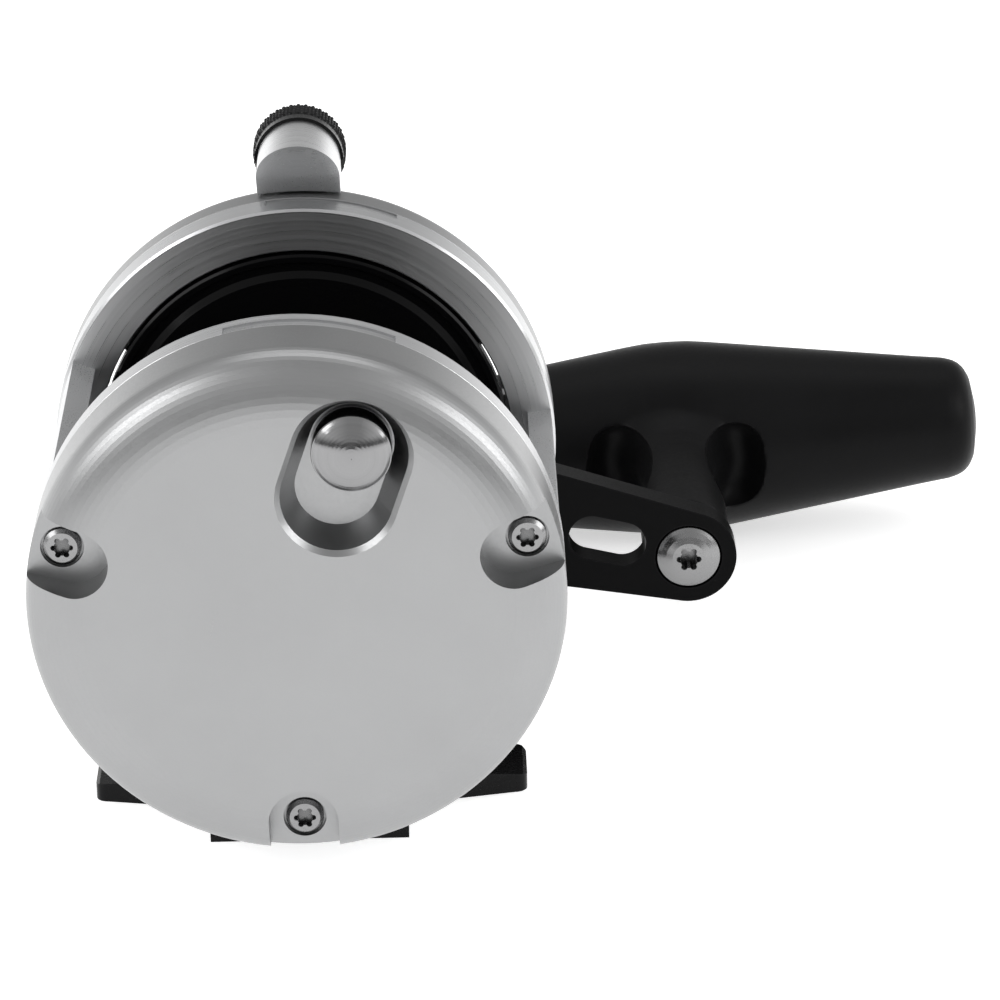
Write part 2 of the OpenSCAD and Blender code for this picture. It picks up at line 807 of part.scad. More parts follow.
module handle_arm() {
    slot_mid = handle_reach * 0.77;
    slot_half_length = 8.5;
    slot_half_width = 5;
    color([0.04, 0.04, 0.045])
    difference() {
        handle_frame()
            arm_blank();
        handle_frame() {
            for (s = [-1, 1])
                rod(slot_mid + s * (slot_half_length - slot_half_width), 0, slot_half_width, arm_face - 1,
                    arm_far + 1);
            translate([slot_mid + slot_half_width - slot_half_length, arm_face - 1, -slot_half_width])
                cube([2 * (slot_half_length - slot_half_width), arm_thick + 2, 2 * slot_half_width]);
            rod(handle_reach, 0, 4 + running, arm_face - 1, arm_far + 1);
            rod(handle_reach, 0, 7.3, arm_face - 1, arm_face + 1.6);
            intersection() {
                rod(0, 0, drive_radius + running, arm_face - 1, arm_far + 1);
                translate([-through, arm_face - 2, -square_half - running])
                    cube([2 * through, arm_thick + 4, 2 * (square_half + running)]);
            }
            rod(lock_screw_x, 0, lock_screw_radius + running, arm_face + 1, arm_far + 1);
        }
    }
}

module handle_nut() {
    color([0.75, 0.76, 0.77])
    difference() {
        union() {
            rod(handle_x, handle_z, nut_radius + 0.2, arm_far, arm_far + 0.8);
            handle_frame()
                slab(arm_far + 0.8, arm_far + 4.8)
                    circle(r = nut_radius, $fn = 6);
        }
        rod(handle_x, handle_z, drive_radius + running, arm_far - 1, arm_far + 6);
    }
}

module nut_lock_plate() {
    color([0.75, 0.76, 0.77])
    difference() {
        handle_frame()
            slab(arm_far + 0.8, arm_far + 1.8)
                polygon([[nut_radius - 0.4, -5], [nut_radius + 1.7, -5.5], [lock_screw_x + 2.5, -3.2],
                    [lock_screw_x + 3.5, 0], [lock_screw_x + 2.5, 3.2], [nut_radius + 1.7, 5.5],
                    [nut_radius - 0.4, 5]]);
        handle_frame() {
            slab(arm_far, arm_far + 3)
                circle(r = nut_radius + screw_clear, $fn = 6);
            rod(lock_screw_x, 0, lock_screw_radius + 0.15, arm_far - 1, arm_far + 3);
        }
    }
}

module nut_lock_screw() {
    color([0.66, 0.67, 0.68])
    handle_frame()
        difference() {
            union() {
                rod(lock_screw_x, 0, lock_screw_radius, arm_face + 1.5, arm_far + 1.9);
                turned(lock_screw_x, 0, [[0, arm_far + 1.8], [2.4, arm_far + 1.8], [2.4, arm_far + 2.6],
                    [1.8, arm_far + 3.2], [0, arm_far + 3.2]]);
            }
            rod(lock_screw_x, 0, 1.1, arm_far + 2.2, arm_far + 4);
        }
}

stud_end = arm_far + grip_offset - 5;
bearing_seat = arm_far + 3.2;
grip_near = arm_far + 1.5;
grip_middle = arm_far + grip_offset;
retainer_floor = stud_end - 3;
cap_radius = 9 - sliding;
bar_tilt = 3;
grip_bearing_radius = 8;
// Half profile of the cross grip: share of the radius, share of the half length from its tip.
bar_profile = [[0.2, 0.001], [0.34, 0.006], [0.46, 0.018], [0.545, 0.033], [0.6, 0.058], [0.635, 0.097],
    [0.75, 0.36], [0.84, 0.562], [0.925, 0.76], [0.975, 0.88], [0.995, 0.955]];

module grip_stud() {
    color([0.7, 0.71, 0.72])
    difference() {
        turned(stud_x, stud_z, [[0, arm_face + 2], [4, arm_face + 2], [4, arm_far], [6.5, arm_far],
            [6.5, arm_far + 1.1], [5, arm_far + 1.1], [5, stud_end - 0.5], [4.5, stud_end], [0, stud_end]]);
        rod(stud_x, stud_z, 3 + running, arm_face, arm_far + 9);
    }
}

module stud_screw() {
    color([0.7, 0.71, 0.72])
    difference() {
        union() {
            turned(stud_x, stud_z, [[0, arm_face - 1.6], [1.9, arm_face - 1.54], [3.6, arm_face - 1.28],
                [5, arm_face - 0.86], [6.1, arm_face - 0.36], [6.8, arm_face + 0.06],
                [7.1, arm_face + 0.5], [7.1, arm_face + 1.55], [0, arm_face + 1.55]]);
            rod(stud_x, stud_z, 3, arm_face + 1.5, arm_far + 8);
        }
        translate([stud_x, 0, stud_z])
            six_lobe(2.75, arm_face - 3, arm_face + 2.4);
    }
}

module grip() {
    big = grip_radius;
    half = grip_half_length;
    color([0.05, 0.05, 0.05])
    difference() {
        union() {
            translate([stud_x, grip_middle, stud_z])
                rotate([0, -bar_tilt, 0])
                    rotate([0, 90, 0])
                        rotate_extrude()
                            polygon(concat([[0, -half]],
                                [for (q = bar_profile) [big * q[0], half * q[1] - half]],
                                [[big, 0]],
                                [for (i = [len(bar_profile) - 1:-1:0])
                                    [big * bar_profile[i][0], half - half * bar_profile[i][1]]],
                                [[0, half]]));
            turned(stud_x, stud_z, [[0, grip_near], [9.1, grip_near], [9.7, grip_near + 0.6],
                [9.6, grip_near + 8], [9.6, grip_near + 18], [10, grip_near + 27],
                [11, grip_near + 33], [13.2, grip_near + 39], [16.4, grip_near + 44],
                [19.5, grip_near + 48], [19.5, grip_middle], [0, grip_middle]]);
        }
        rod(stud_x, stud_z, 5.6, grip_near - 1, grip_middle);
        rod(stud_x, stud_z, grip_bearing_radius, grip_near - 1, bearing_seat + 4);
        rod(stud_x, stud_z, 9, retainer_floor - 4.5, grip_middle + 30);
    }
}

module grip_bearing_inner() {
    color([0.72, 0.73, 0.74])
    bearing(stud_x, stud_z, 5 + running, grip_bearing_radius, bearing_seat, bearing_seat + 4);
}

module grip_bearing_outer() {
    color([0.72, 0.73, 0.74])
    bearing(stud_x, stud_z, 5 + running, 9, retainer_floor - 4.5, retainer_floor - 0.5);
}

module grip_retainer() {
    color([0.5, 0.51, 0.53])
    tube(stud_x, stud_z, 5 + running, 7.2, retainer_floor - 0.5 + thrust_gap, retainer_floor + 1.5);
}

module grip_cap() {
    color([0.06, 0.06, 0.06])
    turned(stud_x, stud_z, [[0, grip_middle + grip_radius - 3.5],
        [cap_radius, grip_middle + grip_radius - 3.5],
        [cap_radius, grip_middle + grip_radius - 1], [6.5, grip_middle + grip_radius - 0.3],
        [0, grip_middle + grip_radius - 0.1]]);
}

// ---- drag lever ----

// Bright knob: round on top, straight-sided below, its front cut back at a slant.
module lever_knob() {
    difference() {
        union() {
            rod(0, knob_z, lever_knob_radius, knob_front, knob_seam);
            translate([-lever_knob_radius, knob_front, knob_z - lever_knob_radius])
                cube([2 * lever_knob_radius, knob_seam - knob_front, lever_knob_radius]);
        }
        translate([0, knob_front, knob_z + lever_knob_radius])
            rotate([knob_slant, 0, 0])
                translate([-through / 2, -through, -through / 2])
                    cube([through, through, through]);
        turned(0, axis_height, concat([[0, knob_front - 1], [plate_radius + knob_gap, knob_front - 1]],
            [for (q = shoulder(right_rim_out + knob_gap, right_face + knob_gap)) [q[0] + knob_gap, q[1]]],
            [[0, right_face + knob_gap]]));
    }
}

module drag_lever() {
    half = 4.6;
    color([0.8, 0.81, 0.82])
    difference() {
        union() {
            rod(0, axis_height, lever_hub_radius, lever_near, lever_far);
            translate([half, 0, axis_height])
                rotate([0, -90, 0])
                    linear_extrude(height = 2 * half)
                        polygon([[5, lever_near], [5, lever_far], [lever_radius - 18.2, lever_far],
                            [lever_radius - 10.6, knob_seam], [lever_radius, knob_seam],
                            [lever_radius, knob_seam - 1.8], [lever_radius - 12.2, lever_near]]);
            lever_knob();
        }
        rod(0, axis_height, neck_radius + sliding, lever_near - 1, lever_far + 1);
        rod(0, knob_z, 1.5 + running, knob_seam - 6, knob_seam + 1);
    }
}

module lever_knob_ring() {
    r = lever_ring_radius;
    color([0.05, 0.05, 0.05])
    turned(0, knob_z, [[1.7, knob_seam], [r - 0.5, knob_seam], [r, knob_seam + 0.5],
        [r, knob_end - 0.7], [r - 0.7, knob_end], [3.4, knob_end], [3.4, knob_end - 2.2],
        [1.7, knob_end - 2.2]]);
    difference() {
        tube(0, knob_z, lever_knob_radius + running, r - 0.5, knob_seam - knob_skirt, knob_seam + eps);
        translate([-r, knob_seam - knob_skirt - 1, knob_z - 2 * r])
            cube([2 * r, knob_skirt + 1, 2 * r]);
    }
}

module lever_knob_screw() {
    color([0.66, 0.67, 0.68])
    difference() {
        turned(0, knob_z, [[0, knob_seam - 5], [1.5, knob_seam - 5], [1.5, knob_end - 2.2],
            [3.1, knob_end - 2.2], [3.1, knob_end - 0.9], [2.6, knob_end - 0.4], [0, knob_end - 0.4]]);
        rod(0, knob_z, 1.4, knob_end - 1.6, knob_end + 1);
    }
}

module drag_cam() {
    color([0.55, 0.56, 0.58])
    tube(0, axis_height, neck_radius + sliding, cam_radius, lever_far, cam_far);
}

module preset_knob() {
    color([0.8, 0.81, 0.82])
    difference() {
        rod(0, axis_height, preset_radius, preset_near, preset_far);
        rod(0, axis_height, shaft_thin + sliding, preset_near - 1, preset_far - 0.8);
        rod(0, axis_height, neck_radius + 0.6, preset_near - 1, neck_end + 0.7);
        for (a = [0:30:330])
            rod((preset_radius + 0.6) * cos(a), axis_height + (preset_radius + 0.6) * sin(a), 1.2,
                preset_near - 1, preset_far + 1);
    }
}

module quadrant_places() {
    for (a = [34, 84, 134])
        around(quadrant_radius, a + 6)
            children();
}

module lever_quadrant() {
    color([0.05, 0.05, 0.055])
    difference() {
        sector(quadrant_radius - 2.4, quadrant_radius + 2.4, 30, 150, right_face, right_face + 0.45);
        quadrant_places()
            rod(0, 0, 1.15, right_face - 1, right_face + 2);
    }
}

module quadrant_screws() {
    color([0.66, 0.67, 0.68])
    quadrant_places()
        rod(0, 0, 1, right_face - 2, right_face + 0.45);
}

// ---- clicker ----

module clicker_button() {
    r = button_radius;
    top = left_face + 1.4;
    low = pocket_floor - 0.3;
    rim = r - 0.3;
    rise = sqrt(dome_radius * dome_radius - rim * rim);
    full = asin(rim / dome_radius);
    color([0.85, 0.86, 0.87])
    clicker_frame()
        union() {
            turned(clicker_rest, 0, concat([[0, low], [r - 0.4, low], [r, low - 0.4], [r, top + 0.4],
                [r - 0.1, top + 0.1]], [for (i = [12:-1:0]) let (a = full * i / 12)
                    [dome_radius * sin(a), top + rise - dome_radius * cos(a)]]));
            rod(clicker_rest + stem_offset, 0, stem_radius, low - eps, carrier_near);
        }
}

module clicker_carrier() {
    color([0.68, 0.69, 0.7])
    clicker_frame()
        union() {
            translate([clicker_rest - 12, carrier_near, -4])
                cube([20.6, carrier_far - carrier_near, 8]);
            rod(pawl_pivot, 0, pawl_pin, carrier_far - eps, click_far + 0.2);
        }
}

module click_pawl() {
    tip = pawl_pivot - pawl_reach;
    color([0.68, 0.69, 0.7])
    clicker_frame()
        difference() {
            union() {
                rod(pawl_pivot, 0, 2.6, click_near + 0.2, click_far - 0.2);
                slab(click_near + 0.2, click_far - 0.2)
                    polygon([[pawl_pivot, 2.4], [tip + 3, 1.3], [tip, 0.5], [tip, -0.5],
                        [tip + 3, -1.3], [pawl_pivot, -2.4]]);
            }
            rod(pawl_pivot, 0, pawl_pin + sliding, click_near - 1, click_far + 1);
        }
}

module pawl_spring() {
    y0 = carrier_far;
    color([0.5, 0.51, 0.53])
    clicker_frame()
        turned(pawl_pivot, 0, [[pawl_pin, y0], [1.9, y0], [2.1, y0 + 0.3], [1.9, y0 + 0.6], [2.1, y0 + 0.9],
            [1.9, y0 + 1.2], [2.1, y0 + 1.5], [1.9, y0 + 1.8], [pawl_pin, y0 + 1.8]]);
}

frame();
left_side_plate();
left_plate_screws();
right_side_plate();
right_plate_screws();
reel_foot();
foot_screws();
main_shaft();
spring_washers();
spool();
spool_bearing_left();
spool_bearing_right();
click_gear();
drag_washer();
pressure_plate();
low_pinion();
high_pinion();
pinion_bearing();
drive_shaft();
low_gear();
high_gear();
gear_clip();
gear_spacer();
drive_bearing_inner();
one_way_clutch();
drive_bearing_outer();
shift_button();
shift_rod();
handle_arm();
handle_nut();
nut_lock_plate();
nut_lock_screw();
grip_stud();
stud_screw();
grip();
grip_bearing_inner();
grip_bearing_outer();
grip_retainer();
grip_cap();
drag_lever();
lever_knob_ring();
lever_knob_screw();
drag_cam();
preset_knob();
lever_quadrant();
quadrant_screws();
clicker_button();
clicker_carrier();
click_pawl();
pawl_spring();
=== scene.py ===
import json
import math
import bpy
import bmesh
import numpy as np
from mathutils import Matrix, Vector


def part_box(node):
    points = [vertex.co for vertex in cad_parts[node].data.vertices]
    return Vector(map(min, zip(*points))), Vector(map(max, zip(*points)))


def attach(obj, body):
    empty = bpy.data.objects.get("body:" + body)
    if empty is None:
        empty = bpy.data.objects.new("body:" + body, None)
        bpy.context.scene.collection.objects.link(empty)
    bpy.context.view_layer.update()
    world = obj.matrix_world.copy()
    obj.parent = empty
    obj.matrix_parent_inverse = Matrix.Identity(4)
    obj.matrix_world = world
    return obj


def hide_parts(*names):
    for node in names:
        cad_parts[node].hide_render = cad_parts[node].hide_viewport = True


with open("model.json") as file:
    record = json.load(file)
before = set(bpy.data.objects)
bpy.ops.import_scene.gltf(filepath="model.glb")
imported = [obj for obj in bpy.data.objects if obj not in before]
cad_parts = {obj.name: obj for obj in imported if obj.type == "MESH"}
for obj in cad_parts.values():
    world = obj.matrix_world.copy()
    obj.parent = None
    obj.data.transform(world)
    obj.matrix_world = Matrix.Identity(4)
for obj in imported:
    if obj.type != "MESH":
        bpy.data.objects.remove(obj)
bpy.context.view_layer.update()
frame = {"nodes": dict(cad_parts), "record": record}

nodes = frame["nodes"]
scene = bpy.context.scene
AXIS_Z = 0.062
MM = 0.001


# ---------------------------------------------------------------- camera
# Azimuth, elevation and roll in degrees, the point looked at and its distance in metres.
CAMERA_ANGLES = (-0.566, 22.006, -1.103)
CAMERA_TARGET = (0.039357, -0.049, 0.08154)
CAMERA_DISTANCE = 0.887018
SENSOR_WIDTH = 36.0
LENS = 167.492016


def add_camera():
    az, el, roll = (math.radians(a) for a in CAMERA_ANGLES)
    target = Vector(CAMERA_TARGET)
    back = Vector((math.sin(az) * math.cos(el), -math.cos(az) * math.cos(el), math.sin(el)))
    right = (-back).cross(Vector((0, 0, 1))).normalized()
    up = right.cross(-back)
    rolled_right = right * math.cos(roll) + up * math.sin(roll)
    rolled_up = up * math.cos(roll) - right * math.sin(roll)
    data = bpy.data.cameras.new("camera")
    data.sensor_width = SENSOR_WIDTH
    data.lens = LENS
    data.clip_start = 0.05
    data.clip_end = 50
    cam = bpy.data.objects.new("camera", data)
    scene.collection.objects.link(cam)
    turn = Matrix((rolled_right, rolled_up, back)).transposed().to_4x4()
    cam.matrix_world = Matrix.Translation(target + back * CAMERA_DISTANCE) @ turn
    scene.camera = cam


def area(name, at, look, size, power):
    """One rectangular area light aimed at a point."""
    data = bpy.data.lights.new(name, "AREA")
    data.shape = "RECTANGLE"
    data.size, data.size_y = size
    data.energy = power
    o = bpy.data.objects.new(name, data)
    scene.collection.objects.link(o)
    o.location = at
    o.rotation_euler = (Vector(look) - Vector(at)).to_track_quat("-Z", "Y").to_euler()


# ---------------------------------------------------------------- node helpers
# Worn edge reach in metres, black base colours, and the carbon weave's turns per metre in radians.
EDGE_REACH = 0.0006
ANODISED_BLACK = (0.0022, 0.0022, 0.0024)
PLASTIC_BLACK = (0.0024, 0.0024, 0.0026)
WEAVE_RATE = 3100.0


class Mat:
    """A small builder for one node material."""

    def __init__(self, name):
        self.m = bpy.data.materials.new(name)
        self.m.use_nodes = True
        self.t = self.m.node_tree
        self.t.nodes.clear()
        self.out = self.new("ShaderNodeOutputMaterial")
        self.p = self.new("ShaderNodeBsdfPrincipled")
        self.link(self.p.outputs["BSDF"], self.out.inputs["Surface"])
        self.co = self.new("ShaderNodeTexCoord").outputs["Object"]

    def new(self, kind, **props):
        n = self.t.nodes.new(kind)
        for k, v in props.items():
            setattr(n, k, v)
        return n

    def link(self, a, b):
        self.t.links.new(a, b)

    def feed(self, socket, value):
        if isinstance(value, bpy.types.NodeSocket):
            self.link(value, socket)
        else:
            socket.default_value = value

    def math(self, op, a, b=0.0, clamp=False):
        n = self.new("ShaderNodeMath", operation=op, use_clamp=clamp)
        self.feed(n.inputs[0], a)
        self.feed(n.inputs[1], b)
        return n.outputs[0]

    def xyz(self):
        """The object coordinates, split into three sockets."""
        n = self.new("ShaderNodeSeparateXYZ")
        self.link(self.co, n.inputs[0])
        return n.outputs

    def noise(self, scale, detail=3.0, rough=0.55, co=None):
        n = self.new("ShaderNodeTexNoise")
        self.feed(n.inputs["Vector"], co or self.co)
        n.inputs["Scale"].default_value = scale
        n.inputs["Detail"].default_value = detail
        n.inputs["Roughness"].default_value = rough
        return n.outputs["Fac"]

    def ramp(self, fac, lo, hi, out_lo, out_hi):
        n = self.new("ShaderNodeMapRange")
        self.feed(n.inputs["Value"], fac)
        for k, v in (("From Min", lo), ("From Max", hi), ("To Min", out_lo), ("To Max", out_hi)):
            n.inputs[k].default_value = v
        return n.outputs["Result"]

    def mix(self, fac, a, b):
        n = self.new("ShaderNodeMix", data_type="RGBA")
        self.feed(n.inputs[0], fac)
        n.inputs[6].default_value = (*a, 1)
        n.inputs[7].default_value = (*b, 1)
        return n.outputs[2]

    def bump(self, height, strength, distance):
        n = self.new("ShaderNodeBump")
        self.feed(n.inputs["Height"], height)
        n.inputs["Strength"].default_value = strength
        n.inputs["Distance"].default_value = distance
        return n.outputs["Normal"]

    def shade(self, colour, reach):
        """Darkens a colour in recesses by ambient occlusion: painted shade where little light
        reaches.
        """
        ao = self.new("ShaderNodeAmbientOcclusion", samples=6)
        ao.inputs["Distance"].default_value = reach
        n = self.new("ShaderNodeMix", data_type="RGBA", blend_type="MULTIPLY")
        n.inputs[0].default_value = 1.0
        self.link(colour, n.inputs[6])
        self.link(self.ramp(ao.outputs["AO"], 0.25, 0.8, 0.12, 1.0), n.inputs[7])
        return n.outputs[2]

    def radius(self, cx=0.0, cz=AXIS_Z):
        """Distance from an axis parallel to Y."""
        x, _, z = self.xyz()
        dx = self.math("SUBTRACT", x, cx)
        dz = self.math("SUBTRACT", z, cz)
        sq = self.math("ADD", self.math("MULTIPLY", dx, dx), self.math("MULTIPLY", dz, dz))
        return self.math("SQRT", sq)

    def set(self, **values):
        for k, v in values.items():
            self.feed(self.p.inputs[k.replace("_", " ")], v)

    def rough(self, fine, cloud, base, fine_span, cloud_span):
        """Roughness about a base value, varied by a fine and a wide pattern."""
        self.set(Roughness=self.math(
            "ADD", self.ramp(fine, 0.3, 0.7, base + fine_span[0], base + fine_span[1]),
            self.ramp(cloud, 0.3, 0.7, *cloud_span)))


def wear(mat):
    """Edge mask from the bevelled normal, for lighter worn edges."""
    bev = mat.new("ShaderNodeBevel", samples=4)
    bev.inputs["Radius"].default_value = EDGE_REACH
    geo = mat.new("ShaderNodeNewGeometry")
    dot = mat.new("ShaderNodeVectorMath", operation="DOT_PRODUCT")
    mat.link(bev.outputs[0], dot.inputs[0])
    mat.link(geo.outputs["Normal"], dot.inputs[1])
    return mat.ramp(dot.outputs["Value"], 0.995, 0.9, 0.0, 1.0)


def blasted(name, base, rough, grain, recess=0.0):
    """Bead-blasted satin metal: fine pits and faint clouding, with painted shade in recesses if
    asked.
    """
    m = Mat(name)
    fine = m.noise(grain, 2.0, 0.6)
    cloud = m.noise(38.0, 4.0, 0.6)
    tone = m.ramp(cloud, 0.3, 0.7, 0.0, 1.0)
    dark = tuple(c * 0.93 for c in base)
    tint = m.mix(tone, dark, base)
    # Painted shade: the colour is darkened in recesses, within the given reach.
    if recess:
        tint = m.shade(tint, recess)
    m.set(Base_Color=tint, Metallic=1.0)
    m.rough(fine, cloud, rough, (-0.05, 0.05), (-0.02, 0.03))
    m.set(Normal=m.bump(fine, 0.10, 0.00008))
    return m.m


def turned(name, base, rough, pitch, depth, cx=0.0, cz=AXIS_Z, metallic=1.0, brushed=0.0,
           specular=0.5):
    """Lathe-turned metal: concentric tool lines about an axis parallel to Y."""
    m = Mat(name)
    u = m.new("ShaderNodeCombineXYZ")
    m.link(m.math("DIVIDE", m.radius(cx, cz), pitch), u.inputs[0])
    m.link(m.math("DIVIDE", m.xyz()[1], pitch * 1.7), u.inputs[1])
    lines = m.noise(1.0, 3.0, 0.65, u.outputs[0])
    cloud = m.noise(60.0, 3.0, 0.5)
    tint = m.mix(m.ramp(lines, 0.3, 0.7, 0.0, 1.0), tuple(c * 0.9 for c in base), base)
    m.set(Base_Color=tint, Metallic=metallic, Specular_IOR_Level=specular)
    m.rough(lines, cloud, rough, (-0.04, 0.05), (-0.02, 0.02))
    m.set(Normal=m.bump(lines, depth, 0.00003))
    if brushed:
        tangent = m.new("ShaderNodeTangent", direction_type="RADIAL", axis="Y")
        m.link(tangent.outputs[0], m.p.inputs["Tangent"])
        m.set(Anisotropic=brushed, Anisotropic_Rotation=0.25)
    return m.m


def anodised(name, rough, specular):
    """Black anodised aluminium: dark, slightly worn at its edges."""
    m = Mat(name)
    fine = m.noise(1800.0, 2.0, 0.6)
    cloud = m.noise(45.0, 4.0, 0.6)
    edge = m.math("MULTIPLY", wear(m), m.ramp(cloud, 0.35, 0.65, 0.3, 1.0))
    tint = m.mix(m.math("MULTIPLY", edge, 0.06, clamp=True), ANODISED_BLACK, (0.12, 0.12, 0.125))
    m.set(Base_Color=tint, Metallic=0.0, Specular_IOR_Level=specular)
    m.rough(fine, cloud, rough, (-0.04, 0.05), (-0.03, 0.04))
    m.set(Normal=m.bump(fine, 0.08, 0.00006))
    return m.m


def plastic(name):
    """Smooth moulded black grip: fine orange-peel, faint handling sheen."""
    m = Mat(name)
    peel = m.noise(900.0, 2.0, 0.5)
    cloud = m.noise(30.0, 4.0, 0.6)
    tint = m.mix(m.ramp(cloud, 0.35, 0.65, 0.0, 1.0), PLASTIC_BLACK,
                 tuple(c * 1.6 for c in PLASTIC_BLACK))
    m.set(Base_Color=tint, Specular_IOR_Level=0.09)
    m.rough(cloud, peel, 0.42, (-0.05, 0.06), (-0.02, 0.03))
    m.set(Normal=m.bump(peel, 0.12, 0.00008))
    return m.m


def carbon(name):
    """Greased woven carbon fibre drag washer."""
    m = Mat(name)
    x, _, z = m.xyz()
    weave = m.math("MULTIPLY", m.math("SINE", m.math("MULTIPLY", x, WEAVE_RATE)),
                   m.math("SINE", m.math("MULTIPLY", z, WEAVE_RATE)))
    m.set(Base_Color=m.mix(m.ramp(weave, -0.4, 0.4, 0.0, 1.0), (0.012, 0.012, 0.013),
                           (0.05, 0.05, 0.052)))
    m.set(Roughness=m.ramp(weave, -1.0, 1.0, 0.28, 0.5), Normal=m.bump(weave, 0.3, 0.0001))
    return m.m


def paint(node, mat):
    o = nodes[node]
    o.data.materials.clear()
    o.data.materials.append(mat)


add_camera()


# ---------------------------------------------------------------- stage
# Brightness of the surround in front, behind, to the left and to the right, of its glow low down
# behind, and how far the front horizon is darkened.
WORLD_FRONT, WORLD_BACK, WORLD_LEFT, WORLD_RIGHT = 0.62, 0.42, 0.55, 0.6
WORLD_HORIZON, FRONT_BAND = 0.95, 0.8
FLOOR_GLOW = 0.62


def build_floor():
    bpy.ops.mesh.primitive_plane_add(size=8, location=(0, 0, 0))
    floor = bpy.context.object
    floor.name = "floor"
    m = Mat("floor_paper")
    tone = m.mix(m.ramp(m.noise(3.0), 0.3, 0.7, 0.0, 1.0), (0.90, 0.90, 0.90),
                 (0.93, 0.93, 0.93))
    m.set(Base_Color=tone, Emission_Color=tone, Emission_Strength=FLOOR_GLOW,
          Roughness=0.85, Specular_IOR_Level=0.1)
    floor.data.materials.append(m.m)


def build_world():
    """Soft studio surround: pale in front and at the sides, grey along the front horizon."""
    world = bpy.data.worlds.new("studio")
    scene.world = world
    world.use_nodes = True
    m = Mat.__new__(Mat)
    m.t = world.node_tree
    back = m.t.nodes["Background"]
    d = m.new("ShaderNodeTexCoord").outputs["Generated"]
    s = m.new("ShaderNodeSeparateXYZ")
    m.link(d, s.inputs[0])
    x, y, z = s.outputs
    level = m.ramp(y, -0.6, 0.8, WORLD_FRONT, WORLD_BACK)
    left = m.math("MULTIPLY", m.ramp(m.math("MULTIPLY", x, -1.0), 0.1, 0.9, 0.0, 1.0), WORLD_LEFT)
    right = m.math("MULTIPLY", m.ramp(x, 0.3, 0.85, 0.0, 1.0), WORLD_RIGHT)
    glow = m.math("MULTIPLY", m.ramp(z, 0.0, 0.2, 1.0, 0.0),
                  m.ramp(y, -0.2, 0.6, 0.0, WORLD_HORIZON))
    total = m.math("ADD", m.math("ADD", level, left), m.math("ADD", right, glow))
    from_horizon = m.math("ABSOLUTE", m.math("SUBTRACT", z, 0.02))
    band = m.math("MULTIPLY", m.ramp(from_horizon, 0.05, 0.22, 1.0, 0.0),
                  m.ramp(y, 0.2, -0.5, 0.0, FRONT_BAND))
    m.link(m.math("MULTIPLY", total, m.math("SUBTRACT", 1.0, band)), back.inputs[1])
    back.inputs[0].default_value = (1, 1, 1, 1)


build_floor()
build_world()
area("key_upper_left", (-0.95, -0.5, 0.85), (0.0, 0.0, 0.06), (0.7, 0.7), 5)
area("fill_right", (1.05, -0.35, 0.6), (0.05, 0.0, 0.05), (0.6, 0.7), 4)
area("top", (0.1, 0.45, 1.2), (0.03, 0.0, 0.05), (0.9, 0.6), 2.2)

scene.view_settings.view_transform = "Standard"
scene.view_settings.look = "None"
scene.view_settings.exposure = 0.0

# ---------------------------------------------------------------- materials
SATIN = blasted("satin_aluminium_blasted", (0.33, 0.332, 0.335), 0.34, 2600.0)
RINGS = turned("turned_aluminium", (0.60, 0.604, 0.61), 0.3, 0.0003, 0.12, brushed=0.8)
KNOB = turned("turned_aluminium_knob", (0.74, 0.744, 0.75), 0.3, 0.0003, 0.06, cz=0.1183)
SPOOL = turned("black_gloss_spool", (0.002, 0.002, 0.0022), 0.16, 0.0004, 0.12,
               metallic=0.0, specular=0.1)
ARM = anodised("black_satin_arm", rough=0.36, specular=0.06)
FOOT = anodised("black_gloss_foot", rough=0.24, specular=0.15)
BLACK = anodised("black_anodised_trim", rough=0.22, specular=0.2)
STEEL = turned("machined_steel", (0.38, 0.382, 0.385), 0.28, 0.0003, 0.3)
# The screws get painted shade in their recesses, reaching 3 mm.
SCREW = blasted("stainless_screws", (0.27, 0.27, 0.272), 0.24, 3800.0, recess=0.003)
BRASS = turned("machined_brass", (0.62, 0.45, 0.2), 0.28, 0.0003, 0.25)
POLISH = turned("polished_button", (0.27, 0.27, 0.273), 0.14, 0.0005, 0.05, cx=0.0115, cz=0.0944)
GRIP = plastic("smooth_black_grip")
CARBON = carbon("woven_carbon")

BY_SLOT = {"satin_aluminium": SATIN, "black_anodised": BLACK, "stainless": SCREW, "steel": STEEL,
           "brass": BRASS, "carbon": CARBON, "black_grip": GRIP, "polished": POLISH}
for sub in frame["record"]["subparts"]:
    paint(sub["node"], BY_SLOT[sub["material_slot"]])
paint("frame", RINGS)
paint("drag_lever", KNOB)
paint("spool", SPOOL)
paint("handle_arm", ARM)
paint("reel_foot", FOOT)


# ---------------------------------------------------------------- pieces
def box_mid(node):
    lo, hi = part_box(node)
    return (Vector(lo) + Vector(hi)) / 2


def mesh_object(name, verts, faces, mat=None, smooth_angle=math.radians(32)):
    me = bpy.data.meshes.new(name)
    me.from_pydata([tuple(v) for v in verts], [], faces)
    o = bpy.data.objects.new(name, me)
    scene.collection.objects.link(o)
    if mat is not None:
        me.materials.append(mat)
    bm = bmesh.new()
    bm.from_mesh(me)
    bmesh.ops.recalc_face_normals(bm, faces=bm.faces)
    bm.to_mesh(me)
    bm.free()
    me.polygons.foreach_set("use_smooth", [True] * len(me.polygons))
    me.set_sharp_from_angle(angle=smooth_angle)
    return o


def revolve(rings, count):
    """Vertices and side faces of a turned shape; a ring is (radius or radius(angle), y)."""
    verts, faces = [], []
    for radius, y in rings:
        for k in range(count):
            t = 2 * math.pi * k / count
            r = radius(t) if callable(radius) else radius
            verts.append((r * math.cos(t), y, r * math.sin(t)))
    n = len(rings)
    for i in range(n - 1):
        for k in range(count):
            a, b = i * count + k, i * count + (k + 1) % count
            faces.append((a, b, b + count, a + count))
    return verts, faces


